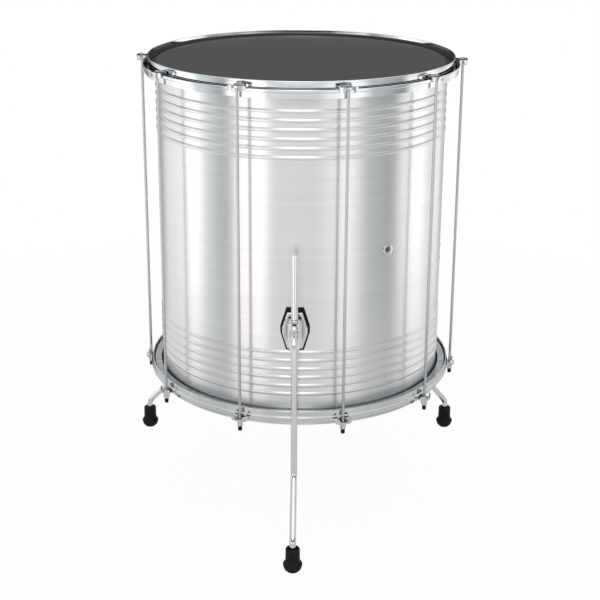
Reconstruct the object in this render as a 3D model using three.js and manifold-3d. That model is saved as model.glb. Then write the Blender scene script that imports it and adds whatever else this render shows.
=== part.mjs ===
// A floor surdo: ribbed aluminium shell, two heads, two steel hoops pulled together by ten
// tension rods, and three sliding legs with rubber feet. Millimetres and degrees, +Z up.
import * as THREE from 'three';
import { mergeVertices } from 'three/addons/utils/BufferGeometryUtils.js';
import Module from 'manifold-3d';

const wasm = await Module();
wasm.setup();

// Shell
const inch = 25.4;
const shellRadius = 11 * inch;
const shellLength = 24.5 * inch;
const shellWall = 2;
const bearingLip = 8;
const bearingRound = 3;
const beadCount = 6;
const beadPitch = 16.6;
const beadFromEdge = 45;
const beadWidth = 10;
const beadHeight = 1.4;
const shellTurn = 1.1;
const ventAzimuth = 36.6;
const ventRadius = 6.4;
const ventRingRadius = 10.2;
const ventRingHeight = 1.5;

// Heads: a film bonded to a flesh hoop
const filmThickness = 1;
const rimAboveHead = 9.5;
const fleshInset = 3.2;
const fleshHeight = 9;
const fleshClearance = 0.5;

// Hoops, as depths below the rim and steps outward from the shell
const sheet = 2.3;
const rimStandOff = 15.1;
const rimBeadHeight = 3.6;
const rimBeadOut = 1;
const collarHeight = 13.2;
const flangeStandOff = 9.4;
const flangeHeight = 5.4;
const flangeRound = 2;
const skirtInset = 2.6;
const hoopHeight = 30.1;

// Tension rods, claws and nuts
const rodCount = 10;
const rodRadius = 2.8;
const rodStandOff = 5.4;
const rodHeadRadius = 4.7;
const rodHeadHeight = 2.8;
const rodClearance = 0.4;
const clawThickness = 2.5;
const clawBelowRim = 8;
const clawInnerHalfWidth = 10;
const clawFootDepth = 4;
const lipStandOff = 9.7;
const lipBend = 24;
const lipBesideLeg = 3.15;
const lipHeight = 10;
const lipBelowRim = 7.5;
const nutFlats = 10;
const nutSides = 6;
const nutLength = 11.7;
const nutCapRadius = 4.15;
const nutCapLength = 10;

// Leg brackets, on their gaskets just above the lower beads
const legCount = 3;
const gasketAboveBeads = 1.15;
const gasketThickness = 2;
const gasketWidth = 54;
const gasketTall = 82.5;
const lugMarginSide = 4;
const lugMarginEnd = 6.6;
const lugThickness = 9;
const bossHalfWidth = 14;
const bossTop = 27;
const bossBottom = 23;
const bossFront = 10.5;

// Legs: they carry the upper rim at the standing height, run just outside the lower hoop, and
// are turned about their own axes as they stand in the photograph
const standingHeight = 889.2;
const legClearance = 2.1;
const legRadius = 6;
const legAboveBracket = 150;
const legThrow = 83.6;
const upperKneeHeight = 148.6;
const lowerKneeHeight = 61.2;
const kneeRadius = 28;
const legTurns = [1, 19.6, 4.5];

// Feet
const footRadius = 13;
const footFlareRadius = 17.9;
const footBaseRadius = 10.7;
const footHeight = 47;
const footFlareHeight = 14;
const footFlareBand = 3;
const footNeckHeight = 21;
const footSocketDepth = 32;
const footRound = 2;

// Wing screws
const screwRadius = 4;
const screwAbove = 6;
const screwHubRadius = 5.5;
const screwHubLength = 11;
const wingReach = 20;
const wingLobeRadius = 6.5;
const wingThickness = 7;
const wingForward = 18;

// Fits, cuts and facets
const seatGap = 0.3;
const overrun = 20;
const chamferShare = 0.3;
const ringSegments = 44;
const rodSegments = 8;
const legSegments = 12;
const footSegments = 14;
const lipSegments = 4;
const roundSegments = 3;
const kneeSegments = 5;

// Derived heights and radii
const halfTurn = 180;
const fullTurn = 360;
const shellEnd = shellLength / 2;
const filmUnder = shellEnd + seatGap;
const filmTop = filmUnder + filmThickness;
const rimLevel = filmTop + rimAboveHead;
const drumCentre = standingHeight - rimLevel;
const rimRadius = shellRadius + rimStandOff;
const flangeRadius = rimRadius + flangeStandOff;
const rodCircle = flangeRadius + rodStandOff;
const lipRadius = rodCircle + lipStandOff;
const legAxisRadius = flangeRadius + legClearance + legRadius;
const lipHalfWidth = legAxisRadius * Math.sin(radians(nearestRodToLeg())) - legRadius - lipBesideLeg;
const collarRadius = rimRadius - rimBeadOut;
const collarInner = collarRadius - sheet;
const skirtRadius = flangeRadius - skirtInset;
const skirtInner = skirtRadius - sheet;
const shoulderLevel = rimLevel - collarHeight;
const shoulderUnder = shoulderLevel - sheet;
const clawTop = rimLevel - clawBelowRim;
const clawUnder = clawTop - clawThickness;
const lowerBeadsTop = beadFromEdge + (beadCount - 1) * beadPitch + beadWidth / 2 - shellEnd;
const bracketOffset = lowerBeadsTop + gasketAboveBeads + gasketTall / 2;
const gasketInner = shellRadius + seatGap;
const gasketOuter = gasketInner + gasketThickness;
const lugInner = gasketOuter + seatGap;
const lugFace = lugInner + lugThickness;
const bossFace = legAxisRadius + bossFront;
const rodHoleRadius = rodRadius + rodClearance;
const legHoleRadius = legRadius + seatGap;

const finishes = {
  aluminium: { color: 0xc9cbcc, roughness: 0.38, metalness: 1 },
  chrome: { color: 0xdfe2e4, roughness: 0.12, metalness: 1 },
  film: { color: 0x4c4c4f, roughness: 0.75, metalness: 0 },
  rubber: { color: 0x141414, roughness: 0.8, metalness: 0 },
};

function radians(degrees) {
  return THREE.MathUtils.degToRad(degrees);
}

function rodAzimuth(number) {
  return (fullTurn * (number + 1 / 2)) / rodCount;
}

function legAzimuth(number) {
  return (fullTurn * number) / legCount;
}

// Smallest angle between a leg and a rod: the claws' lips end beside that leg
function nearestRodToLeg() {
  const angles = [];
  for (let leg = 0; leg < legCount; leg += 1) {
    for (let rod = 0; rod < rodCount; rod += 1) {
      angles.push(Math.abs(legAzimuth(leg) + shellTurn - rodAzimuth(rod)));
    }
  }
  return Math.min(...angles);
}

// A closed geometry with shared corners, its faces turned outward
function closed(geometry) {
  geometry.deleteAttribute('normal');
  geometry.deleteAttribute('uv');
  const merged = mergeVertices(geometry);
  const corners = merged.attributes.position;
  const index = merged.index.array;
  const [a, b, c] = [new THREE.Vector3(), new THREE.Vector3(), new THREE.Vector3()];
  const kept = [];
  let volume = 0;
  for (let face = 0; face < index.length; face += 3) {
    const corner = [index[face], index[face + 1], index[face + 2]];
    if (new Set(corner).size === corner.length) {
      a.fromBufferAttribute(corners, corner[0]);
      b.fromBufferAttribute(corners, corner[1]);
      c.fromBufferAttribute(corners, corner[2]);
      volume += a.dot(b.cross(c));
      kept.push(...corner);
    }
  }
  merged.setIndex(volume < 0 ? kept.reverse() : kept);
  return merged;
}

function toSolid(geometry) {
  const { attributes, index } = closed(geometry);
  const mesh = new wasm.Mesh({
    numProp: 3,
    vertProperties: new Float32Array(attributes.position.array),
    triVerts: new Uint32Array(index.array),
  });
  return new wasm.Manifold(mesh);
}

function fromSolid(solid) {
  const mesh = solid.getMesh();
  const geometry = new THREE.BufferGeometry();
  geometry.setAttribute('position', new THREE.BufferAttribute(mesh.vertProperties, mesh.numProp));
  geometry.setIndex(new THREE.BufferAttribute(mesh.triVerts, 1));
  return geometry;
}

// A ring or disc turned about +Z from corners given as [radius, height]
function turned(corners, segments) {
  const profile = corners.map(([radius, height]) => new THREE.Vector2(radius, height));
  if (profile[0].x > 0) profile.push(profile[0].clone());
  const geometry = new THREE.LatheGeometry(profile, segments);
  return geometry.rotateX(radians(halfTurn / 2));
}

// A prism standing on the plan outline, from one height to another
function upright(shape, from, to) {
  const geometry = new THREE.ExtrudeGeometry(shape, { depth: to - from, bevelEnabled: false });
  return geometry.translate(0, 0, from);
}

// A prism pointing outward (towards -Y), from one radius to another
function outward(shape, from, to) {
  const geometry = new THREE.ExtrudeGeometry(shape, { depth: to - from, bevelEnabled: false });
  return geometry.rotateX(radians(halfTurn / 2)).translate(0, -from, 0);
}

function outline(points) {
  return new THREE.Shape(points.map(([x, y]) => new THREE.Vector2(x, y)));
}

// A round outline whose flats, not its corners, keep the radius
function roundOutline(radius, sides, x = 0, y = 0) {
  const corners = [];
  for (let side = 0; side < sides; side += 1) {
    const angle = radians((fullTurn * (side + 1 / 2)) / sides);
    const reach = radius / Math.cos(Math.PI / sides);
    corners.push([x + reach * Math.cos(angle), y + reach * Math.sin(angle)]);
  }
  return outline(corners);
}

function mirrored(points) {
  return points.map(([x, y]) => [-x, y]).reverse();
}

// Shell with two sets of rolled beads, inward bearing lips and an air vent with its eyelet
function beadCorners(centre) {
  return [
    [shellRadius, centre - beadWidth / 2],
    [shellRadius + beadHeight, centre],
    [shellRadius, centre + beadWidth / 2],
  ];
}

function shellProfile() {
  const upperEnd = [
    [shellRadius, shellEnd - bearingRound],
    [shellRadius - bearingRound * chamferShare, shellEnd - bearingRound * chamferShare],
    [shellRadius - bearingRound, shellEnd],
    [shellRadius - bearingLip, shellEnd],
    [shellRadius - bearingLip, shellEnd - shellWall],
    [shellRadius - shellWall, shellEnd - shellWall - bearingRound],
  ];
  const lowerEnd = upperEnd.map(([radius, height]) => [radius, -height]).reverse();
  const topBead = shellEnd - beadFromEdge;
  const beads = [];
  for (let bead = 0; bead < beadCount; bead += 1) {
    beads.push(-topBead + bead * beadPitch, topBead - bead * beadPitch);
  }
  beads.sort((low, high) => low - high);
  return [...lowerEnd, ...beads.flatMap(beadCorners), ...upperEnd];
}

function shellGeometry() {
  const ring = outward(
    roundOutline(ventRingRadius, legSegments), shellRadius - shellWall / 2, shellRadius + ventRingHeight,
  );
  const hole = outward(
    roundOutline(ventRadius, legSegments), shellRadius - overrun, shellRadius + overrun,
  );
  ring.rotateZ(radians(ventAzimuth));
  hole.rotateZ(radians(ventAzimuth));
  const body = toSolid(turned(shellProfile(), ringSegments));
  return fromSolid(body.add(toSolid(ring)).subtract(toSolid(hole)));
}

// Upper head: the film runs over the bearing edge and down into the flesh hoop
function headGeometry() {
  const fleshInner = shellRadius + fleshInset;
  const fleshOuter = skirtInner - fleshClearance;
  const fleshTop = shoulderUnder - seatGap;
  const fleshBottom = fleshTop - fleshHeight;
  const edge = shellRadius - bearingRound;
  return turned([
    [0, filmTop],
    [edge + filmThickness, filmTop],
    [shellRadius + filmThickness * 2, shellEnd - filmThickness],
    [fleshInner + filmThickness, fleshTop],
    [fleshOuter, fleshTop],
    [fleshOuter, fleshBottom],
    [fleshInner, fleshBottom],
    [fleshInner, fleshTop],
    [shellRadius + filmThickness, shellEnd - filmThickness],
    [edge, filmUnder],
    [0, filmUnder],
  ], ringSegments);
}

// Upper hoop: rolled rim, collar, folded flange that carries the claws, and skirt
function hoopGeometry() {
  const flangeUnder = shoulderLevel - flangeHeight;
  const rimBeadUnder = rimLevel - rimBeadHeight;
  return turned([
    [collarInner, rimLevel],
    [rimRadius, rimLevel],
    [rimRadius, rimBeadUnder],
    [collarRadius, rimBeadUnder - rimBeadOut],
    [collarRadius, shoulderLevel],
    [flangeRadius - flangeRound, shoulderLevel],
    [flangeRadius, shoulderLevel - flangeRound],
    [flangeRadius, flangeUnder],
    [skirtRadius, flangeUnder - skirtInset / 2],
    [skirtRadius, rimLevel - hoopHeight],
    [skirtInner, rimLevel - hoopHeight],
    [skirtInner, shoulderUnder],
    [collarInner, shoulderUnder],
  ], ringSegments);
}

// Points on an arc about (x, y), by angle in degrees
function arc(radius, from, to, segments, x = 0, y = 0) {
  return Array.from({ length: segments + 1 }, (_, step) => {
    const angle = radians(from + ((to - from) * step) / segments);
    return [x + radius * Math.cos(angle), y + radius * Math.sin(angle)];
  });
}

// Claw: a plate with a hole for the rod, a foot on the hoop's shoulder at its inner edge and
// an upright outer lip with round ears, bent more tightly than the hoop
function clawPlateShape() {
  const bendCentre = lipBend - lipRadius;
  const lipAngle = THREE.MathUtils.radToDeg(Math.acos(clawInnerHalfWidth / lipBend));
  const inner = -(rimRadius + rodClearance);
  const shape = outline([
    [-clawInnerHalfWidth, inner],
    ...arc(lipBend - clawThickness / 2, lipAngle - halfTurn, -lipAngle, lipSegments, 0, bendCentre),
    [clawInnerHalfWidth, inner],
  ]);
  shape.holes.push(roundOutline(rodHoleRadius, rodSegments, 0, -rodCircle));
  return shape;
}

function lipSolid() {
  const bendCentre = lipBend - lipRadius;
  const lipAngle = THREE.MathUtils.radToDeg(Math.acos(lipHalfWidth / lipBend));
  const plan = outline([
    ...arc(lipBend, lipAngle - halfTurn, -lipAngle, lipSegments, 0, bendCentre),
    ...arc(lipBend - clawThickness, -lipAngle, lipAngle - halfTurn, lipSegments, 0, bendCentre),
  ]);
  const lipTop = rimLevel - lipBelowRim;
  const earRadius = lipHeight / 2;
  const earCentre = lipHalfWidth - earRadius;
  const middle = lipTop - earRadius;
  const ear = arc(earRadius, -halfTurn / 2, halfTurn / 2, roundSegments, earCentre, middle);
  const elevation = outward(outline([...ear, ...mirrored(ear)]), flangeRadius, lipRadius + lipBend);
  return toSolid(upright(plan, lipTop - lipHeight, lipTop)).intersect(toSolid(elevation));
}

function clawGeometry() {
  const footInner = -(rimRadius + rodClearance);
  const footSide = [
    [clawInnerHalfWidth, footInner - clawFootDepth],
    [clawInnerHalfWidth, footInner],
  ];
  const footShape = outline([...footSide, ...mirrored(footSide)]);
  return fromSolid(
    toSolid(upright(clawPlateShape(), clawUnder, clawTop))
      .add(toSolid(upright(footShape, shoulderLevel + seatGap, clawTop)))
      .add(lipSolid()),
  );
}

// Tension rod with a low round head on the upper claw, down into the nut
function rodGeometry() {
  const headUnder = clawTop + seatGap;
  const bottom = -(rimLevel + nutCapRadius);
  return turned([
    [0, headUnder + rodHeadHeight],
    [rodHeadRadius, headUnder + rodHeadHeight],
    [rodHeadRadius, headUnder],
    [rodRadius, headUnder],
    [rodRadius, bottom],
    [0, bottom],
  ], rodSegments);
}

// Long hexagon nut with a closed end cap below it, bored from above for the rod
function nutGeometry() {
  const top = -(clawTop + seatGap);
  const capTop = top - nutLength;
  const boreBottom = capTop - nutCapRadius;
  const cap = turned([
    [0, capTop],
    [nutCapRadius, capTop],
    [nutCapRadius, capTop - nutCapLength + nutCapRadius],
    [nutCapRadius * Math.SQRT1_2, capTop - nutCapLength + nutCapRadius * (1 - Math.SQRT1_2)],
    [0, capTop - nutCapLength],
  ], rodSegments);
  const nut = upright(roundOutline(nutFlats / 2, nutSides), capTop - seatGap, top);
  const bore = upright(roundOutline(rodHoleRadius, rodSegments), boreBottom, top + overrun);
  return fromSolid(toSolid(nut).add(toSolid(cap)).subtract(toSolid(bore)));
}

// Long hexagon outline of the gasket and of the bracket's foot
function plateOutline(width, tall) {
  const endShare = 0.6;
  const sideShare = 0.15;
  const right = [
    [(width / 2) * endShare, bracketOffset - tall / 2],
    [width / 2, bracketOffset - (tall / 2) * sideShare],
    [width / 2, bracketOffset + (tall / 2) * sideShare],
    [(width / 2) * endShare, bracketOffset + tall / 2],
  ];
  return outline([...right, ...mirrored(right)]);
}

// A band of the many-sided shell shape, turned back so that its sides match the shell's there
function shellBand(inner, outer, azimuth) {
  const band = turned([
    [inner, bracketOffset - gasketTall],
    [outer, bracketOffset - gasketTall],
    [outer, bracketOffset + gasketTall],
    [inner, bracketOffset + gasketTall],
  ], ringSegments);
  return toSolid(band.rotateZ(radians(-azimuth)));
}

function gasketGeometry(azimuth) {
  const shape = plateOutline(gasketWidth, gasketTall);
  const plate = outward(shape, gasketInner - overrun, gasketOuter + overrun);
  return fromSolid(toSolid(plate).intersect(shellBand(gasketInner, gasketOuter, azimuth)));
}

// Bracket casting: a flat foot on the gasket and a boss bored for the leg and the wing screw
function bracketGeometry(azimuth) {
  const side = gasketWidth / 2 - lugMarginSide;
  const foot = outward(
    plateOutline(side * 2, gasketTall - lugMarginEnd * 2), lugInner - lugThickness, lugFace,
  );
  const cornerShare = 0.55;
  const bossRight = [
    [bossHalfWidth * cornerShare, bracketOffset - bossBottom],
    [bossHalfWidth, bracketOffset - bossBottom * cornerShare],
    [bossHalfWidth, bracketOffset + bossTop * cornerShare],
    [bossHalfWidth * cornerShare, bracketOffset + bossTop],
  ];
  const bossShape = outline([...bossRight, ...mirrored(bossRight)]);
  const boss = outward(bossShape, lugFace - lugThickness / 2, bossFace);
  const legHole = upright(
    roundOutline(legHoleRadius, legSegments, 0, -legAxisRadius),
    bracketOffset - bossBottom - overrun, bracketOffset + bossTop + overrun,
  );
  const screwHole = outward(
    roundOutline(screwRadius + rodClearance, rodSegments, 0, bracketOffset + screwAbove),
    legAxisRadius, bossFace + overrun,
  );
  return fromSolid(
    toSolid(foot).subtract(shellBand(shellRadius - overrun, lugInner, azimuth))
      .add(toSolid(boss)).subtract(toSolid(legHole)).subtract(toSolid(screwHole)),
  );
}

// Wing screw: shank against the leg, hub on the boss and two round wings, one up and one down
function wingScrewGeometry() {
  const shankTip = legAxisRadius + legHoleRadius + rodClearance;
  const hubBack = bossFace + seatGap;
  const hubFront = hubBack + screwHubLength;
  const shank = outward(roundOutline(screwRadius, rodSegments), shankTip, hubFront);
  const hub = outward(roundOutline(screwHubRadius, rodSegments), hubBack, hubFront);
  const lobe = wingReach - wingLobeRadius;
  const lobeCentre = hubBack + wingForward - wingLobeRadius;
  const root = screwHubRadius / 2;
  const wing = [
    [hubFront, root],
    ...arc(wingLobeRadius, 0, halfTurn, roundSegments, lobeCentre, lobe),
    [hubBack + root, root],
  ];
  const wingShape = outline([...wing, ...wing.map(([x, y]) => [x, -y]).reverse()]);
  const wings = new THREE.ExtrudeGeometry(wingShape, { depth: wingThickness, bevelEnabled: false });
  wings.translate(0, 0, -wingThickness / 2);
  wings.rotateX(radians(halfTurn / 2)).rotateZ(radians(-halfTurn / 2));
  return fromSolid(toSolid(shank).add(toSolid(hub)).add(toSolid(wings)));
}

// A path through given corners; equal steps of the sweep fall on the corners
class CornerPath extends THREE.Curve {
  constructor(corners) {
    super();
    this.corners = corners;
  }

  getPoint(share, target = new THREE.Vector3()) {
    const place = share * (this.corners.length - 1);
    const from = Math.min(Math.floor(place), this.corners.length - 2);
    return target.lerpVectors(this.corners[from], this.corners[from + 1], place - from);
  }

  getPointAt(share, target) {
    return this.getPoint(share, target);
  }

  getTangentAt(share, target = new THREE.Vector3()) {
    const place = Math.round(share * (this.corners.length - 1));
    const before = this.corners[Math.max(place - 1, 0)];
    const after = this.corners[Math.min(place + 1, this.corners.length - 1)];
    return target.subVectors(after, before).normalize();
  }
}

// Corners of one rounded knee between two straight runs
function kneeCorners(before, knee, after) {
  const into = knee.clone().sub(before).normalize();
  const out = after.clone().sub(knee).normalize();
  const bend = Math.acos(into.dot(out));
  const cut = kneeRadius * Math.tan(bend / 2);
  const start = knee.clone().addScaledVector(into, -cut);
  const end = knee.clone().addScaledVector(out, cut);
  const curve = new THREE.QuadraticBezierCurve3(start, knee, end);
  return curve.getPoints(kneeSegments);
}

function legGeometry() {
  const floor = -drumCentre;
  const top = new THREE.Vector3(0, 0, bracketOffset + legAboveBracket);
  const upper = new THREE.Vector3(0, 0, floor + upperKneeHeight);
  const lower = new THREE.Vector3(0, -legThrow, floor + lowerKneeHeight);
  const end = new THREE.Vector3(0, -legThrow, floor + footHeight - footSocketDepth + seatGap);
  const path = new CornerPath([
    top, ...kneeCorners(top, upper, lower), ...kneeCorners(upper, lower, end), end,
  ]);
  return new THREE.ExtrudeGeometry(roundOutline(legRadius * Math.cos(Math.PI / legSegments), legSegments), {
    steps: path.corners.length - 1,
    extrudePath: path,
  });
}

// Rubber foot: socket for the leg, straight upper part, flare and a small flat sole
function footGeometry() {
  const floor = -drumCentre;
  const foot = turned([
    [0, floor],
    [footBaseRadius, floor],
    [footFlareRadius, floor + footFlareHeight],
    [footFlareRadius, floor + footFlareHeight + footFlareBand],
    [footRadius, floor + footNeckHeight],
    [footRadius, floor + footHeight - footRound],
    [footRadius - footRound, floor + footHeight],
    [0, floor + footHeight],
  ], footSegments);
  const socket = upright(
    roundOutline(legHoleRadius, legSegments), floor + footHeight - footSocketDepth, floor + footHeight + overrun,
  );
  return fromSolid(toSolid(foot).subtract(toSolid(socket))).translate(0, -legThrow, 0);
}

function piece(name, geometry, finish) {
  const mesh = new THREE.Mesh(closed(geometry), new THREE.MeshStandardMaterial(finishes[finish]));
  mesh.name = name;
  return mesh;
}

function atAzimuth(azimuth, ...children) {
  const holder = new THREE.Group();
  holder.rotation.z = radians(azimuth);
  holder.add(...children);
  return holder;
}

// The same piece on the other end of the drum, turned over about the X axis
function turnedOver(...children) {
  const holder = new THREE.Group();
  holder.rotation.x = Math.PI;
  holder.add(...children);
  return holder;
}

function tensionSet(number) {
  const azimuth = rodAzimuth(number);
  const label = String(number + 1).padStart(2, '0');
  const onRod = new THREE.Group();
  onRod.position.y = -rodCircle;
  onRod.add(
    piece(`tension_rod_${label}`, rodGeometry(), 'chrome'),
    piece(`tension_nut_${label}`, nutGeometry(), 'chrome'),
  );
  const lower = piece(`lower_claw_${label}`, clawGeometry(), 'chrome');
  return [
    atAzimuth(azimuth, piece(`upper_claw_${label}`, clawGeometry(), 'chrome'), onRod),
    turnedOver(atAzimuth(halfTurn - azimuth, lower)),
  ];
}

function legSet(number) {
  const azimuth = legAzimuth(number);
  const label = ['front', 'right', 'left'][number];
  const leg = new THREE.Group();
  leg.position.y = -legAxisRadius;
  leg.rotation.z = radians(legTurns[number]);
  leg.add(
    piece(`leg_${label}`, legGeometry(), 'chrome'),
    piece(`foot_${label}`, footGeometry(), 'rubber'),
  );
  const screw = piece(`wing_screw_${label}`, wingScrewGeometry(), 'chrome');
  screw.position.z = bracketOffset + screwAbove;
  return atAzimuth(
    azimuth,
    piece(`gasket_${label}`, gasketGeometry(azimuth), 'rubber'),
    piece(`leg_bracket_${label}`, bracketGeometry(azimuth), 'chrome'),
    screw,
    leg,
  );
}

const drum = new THREE.Group();
drum.add(
  atAzimuth(
    shellTurn,
    piece('shell', shellGeometry(), 'aluminium'),
    ...Array.from({ length: legCount }, (_, number) => legSet(number)),
  ),
  piece('upper_hoop', hoopGeometry(), 'chrome'),
  piece('upper_head', headGeometry(), 'film'),
  turnedOver(
    piece('lower_hoop', hoopGeometry(), 'chrome'),
    piece('lower_head', headGeometry(), 'film'),
  ),
  ...Array.from({ length: rodCount }, (_, number) => tensionSet(number)).flat(),
);

// The origin is the middle of the outer box, on the floor
const surdo = new THREE.Group();
surdo.add(drum);
drum.updateMatrixWorld(true);
const box = new THREE.Box3().setFromObject(drum, true);
const middle = box.getCenter(new THREE.Vector3());
drum.position.set(-middle.x, -middle.y, -box.min.z);

export default surdo;
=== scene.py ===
import math

import bmesh
import bpy
from mathutils import Matrix, Vector


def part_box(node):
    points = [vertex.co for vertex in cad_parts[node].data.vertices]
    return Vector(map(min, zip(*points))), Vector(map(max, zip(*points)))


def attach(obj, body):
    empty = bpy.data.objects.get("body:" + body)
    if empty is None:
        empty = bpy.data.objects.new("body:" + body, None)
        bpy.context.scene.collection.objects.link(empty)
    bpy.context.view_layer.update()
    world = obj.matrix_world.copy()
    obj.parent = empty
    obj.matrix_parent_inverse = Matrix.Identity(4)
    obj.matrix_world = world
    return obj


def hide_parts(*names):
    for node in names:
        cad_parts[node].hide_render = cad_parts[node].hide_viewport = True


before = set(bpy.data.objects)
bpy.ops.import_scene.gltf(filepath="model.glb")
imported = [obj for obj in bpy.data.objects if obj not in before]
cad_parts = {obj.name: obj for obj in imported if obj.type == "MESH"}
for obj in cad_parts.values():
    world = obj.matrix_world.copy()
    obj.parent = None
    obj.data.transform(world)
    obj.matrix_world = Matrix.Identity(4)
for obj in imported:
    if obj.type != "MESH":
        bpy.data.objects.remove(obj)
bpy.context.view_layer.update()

# Sizes in millimetres, places from the drum's axis and its middle height, turns in degrees

MM = 0.001
hoop_low, hoop_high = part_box("upper_hoop")
AXIS_X = (hoop_low.x + hoop_high.x) / 2
AXIS_Y = (hoop_low.y + hoop_high.y) / 2
MIDDLE = (hoop_high.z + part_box("lower_hoop")[0].z) / 2
RIM = (hoop_high.z - MIDDLE) / MM
FLOOR = -MIDDLE / MM

SHELL_RADIUS = 279.4
SHELL_END = RIM - 10.8
SHELL_WALL = 1.7
SHELL_TURN = 1.1
BEADS = 6
BEAD_PITCH = 16.6
BEAD_FROM_END = 45
BEAD_HALF_WIDTH = 4.5
BEAD_HEIGHT = 1.45
BEAD_STEPS = 8
BEAD_FULLNESS = 0.85
PLAIN_END = SHELL_END - 20
BEARING_LIP = 8

VENT_AZIMUTH = 37.7
VENT_HEIGHT = 0
VENT_NECK = 12
VENT_BORE = 6.3
VENT_OUTSIDE = 7.3
VENT_HOLE = 7.6
VENT_FLANGE = 10.6
VENT_INSIDE = 6.6

RIM_RADIUS = 294.5
RIM_INSIDE = 291.9
COLLAR = 293.5
COLLAR_INSIDE = 291.15
SHOULDER = RIM - 13.2
SHOULDER_EDGE = 303.9
SKIRT = 301.3
SKIRT_INNER = 299.2
SKIRT_END = RIM - 30.1
LEDGE = SHOULDER - 2.75

FILM_TOP = SHELL_END + 1.3
FILM_THICK = 0.95
FILM_OUTSIDE = 298.2
# Radius past which the film's flank is painted black for the shade in the groove
FILM_EDGE = 280.5
FLESH_RADIUS = 297
FLESH_INSIDE = 283
FLESH_TALL = 8.2

RODS = 10
ROD_CIRCLE = 309.3
ROD_RADIUS = 2.75
ROD_BORE = 3.2
CLAW_TOP = RIM - 8
CLAW_THICK = 2.5
SEAT = CLAW_TOP + 0.3
NUT_LENGTH = 11.7

LEG_CIRCLE = 312
LEG_RADIUS = 6
LEG_THROW = 83.6
LEG_TOP = FLOOR + 581.5
LEG_END = FLOOR + 17
LEG_ROUND = 0.7
KNEE_HIGH, KNEE_LOW = FLOOR + 148.6, FLOOR + 61.2
LEG_TURNS = {"front": 1.0, "right": 19.6, "left": 4.5}
LEG_AZIMUTHS = {"front": 0, "right": 120, "left": 240}

BRACKET = FLOOR + 431.5
SCREW = BRACKET + 6


# Mesh helpers

# Steps round the drum of what is turned about its axis
SEGMENTS = 288


def place(azimuth=0.0, x=0.0, y=0.0, z=0.0, turn=0.0):
    """Drum frame turned to an azimuth, then moved and turned about the piece's own upright axis."""
    return (
        Matrix.Translation((AXIS_X, AXIS_Y, MIDDLE))
        @ Matrix.Rotation(math.radians(azimuth), 4, "Z")
        @ Matrix.Translation((x * MM, y * MM, z * MM))
        @ Matrix.Rotation(math.radians(turn), 4, "Z")
    )


def turned_over(matrix):
    """The same place on the drum's other end."""
    base = Matrix.Translation((AXIS_X, AXIS_Y, MIDDLE))
    flip = Matrix.Rotation(math.pi, 4, "Y")
    local = base.inverted() @ matrix
    angle = local.to_euler().z
    back = Matrix.Rotation(-angle, 4, "Z") @ local
    return base @ Matrix.Rotation(angle, 4, "Z") @ flip @ back


def link(name, mesh, matrix):
    ob = bpy.data.objects.new(name, mesh)
    bpy.context.scene.collection.objects.link(ob)
    ob.matrix_world = matrix
    return ob


def build(name, verts, faces, sharp=35.0):
    """A closed mesh from millimetre corners, faces outward, smooth but for its sharp edges."""
    mesh = bpy.data.meshes.new(name)
    mesh.from_pydata([Vector(v) * MM for v in verts], [], faces)
    bm = bmesh.new()
    bm.from_mesh(mesh)
    bmesh.ops.remove_doubles(bm, verts=bm.verts, dist=1e-7)
    bmesh.ops.recalc_face_normals(bm, faces=bm.faces)
    bm.to_mesh(mesh)
    bm.free()
    soften(mesh, sharp)
    return mesh


def soften(mesh, sharp):
    mesh.polygons.foreach_set("use_smooth", [True] * len(mesh.polygons))
    mesh.set_sharp_from_angle(angle=math.radians(sharp))
    mesh.update()


def rounded(points, closed=True, steps=5):
    """Corners [(x, y, radius)] with each one rounded by an arc that touches both sides.

    A corner without a radius stays sharp.
    """
    out = []
    count = len(points)
    for i, (x, y, *r) in enumerate(points):
        radius = r[0] if r else 0
        if radius == 0 or (not closed and i in (0, count - 1)):
            out.append((x, y))
            continue
        here = Vector((x, y))
        before = Vector(points[i - 1][:2]) - here
        after = Vector(points[(i + 1) % count][:2]) - here
        half = before.angle(after) / 2
        reach = min(radius / math.tan(half), before.length * 0.49, after.length * 0.49)
        radius = reach * math.tan(half)
        inward = (before.normalized() + after.normalized()).normalized()
        middle = here + inward * (radius / math.sin(half))
        start = here + before.normalized() * reach - middle
        end = here + after.normalized() * reach - middle
        sweep = start.angle_signed(end)
        for step in range(steps + 1):
            arm = start.copy()
            arm.rotate(Matrix.Rotation(-sweep * step / steps, 2))
            out.append(tuple(middle + arm))
    return out


def lathe(name, profile, segments=SEGMENTS, radius_at=None, sharp=35.0):
    """A solid turned about Z. The profile [(radius, height)] closes on itself or on the axis."""
    verts, rings = [], []
    for r, z in profile:
        if r < 1e-6:
            rings.append([len(verts)])
            verts.append((0, 0, z))
            continue
        ring = []
        for s in range(segments):
            a = 2 * math.pi * s / segments
            reach = radius_at(r, z, a) if radius_at else r
            ring.append(len(verts))
            verts.append((reach * math.sin(a), -reach * math.cos(a), z))
        rings.append(ring)
    faces = []
    pairs = list(zip(rings, rings[1:]))
    if len(rings[0]) > 1:
        pairs.append((rings[-1], rings[0]))
    for low, high in pairs:
        for s in range(segments):
            n = (s + 1) % segments
            if len(low) == 1 and len(high) == 1:
                break
            if len(low) == 1:
                faces.append((low[0], high[n], high[s]))
            elif len(high) == 1:
                faces.append((low[s], low[n], high[0]))
            else:
                faces.append((low[s], low[n], high[n], high[s]))
    return build(name, verts, faces, sharp)


def prism(name, outline, low, high, axis="Z"):
    """A flat-ended solid on a closed outline. Axis Z stands it up, axis -Y points it outward."""
    def at(p, level):
        return (p[0], p[1], level) if axis == "Z" else (p[0], -level, p[1])
    count = len(outline)
    verts = [at(p, low) for p in outline] + [at(p, high) for p in outline]
    faces = [tuple(range(count)), tuple(range(2 * count - 1, count - 1, -1))]
    faces += [(i, (i + 1) % count, count + (i + 1) % count, count + i) for i in range(count)]
    return build(name, verts, faces)


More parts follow.
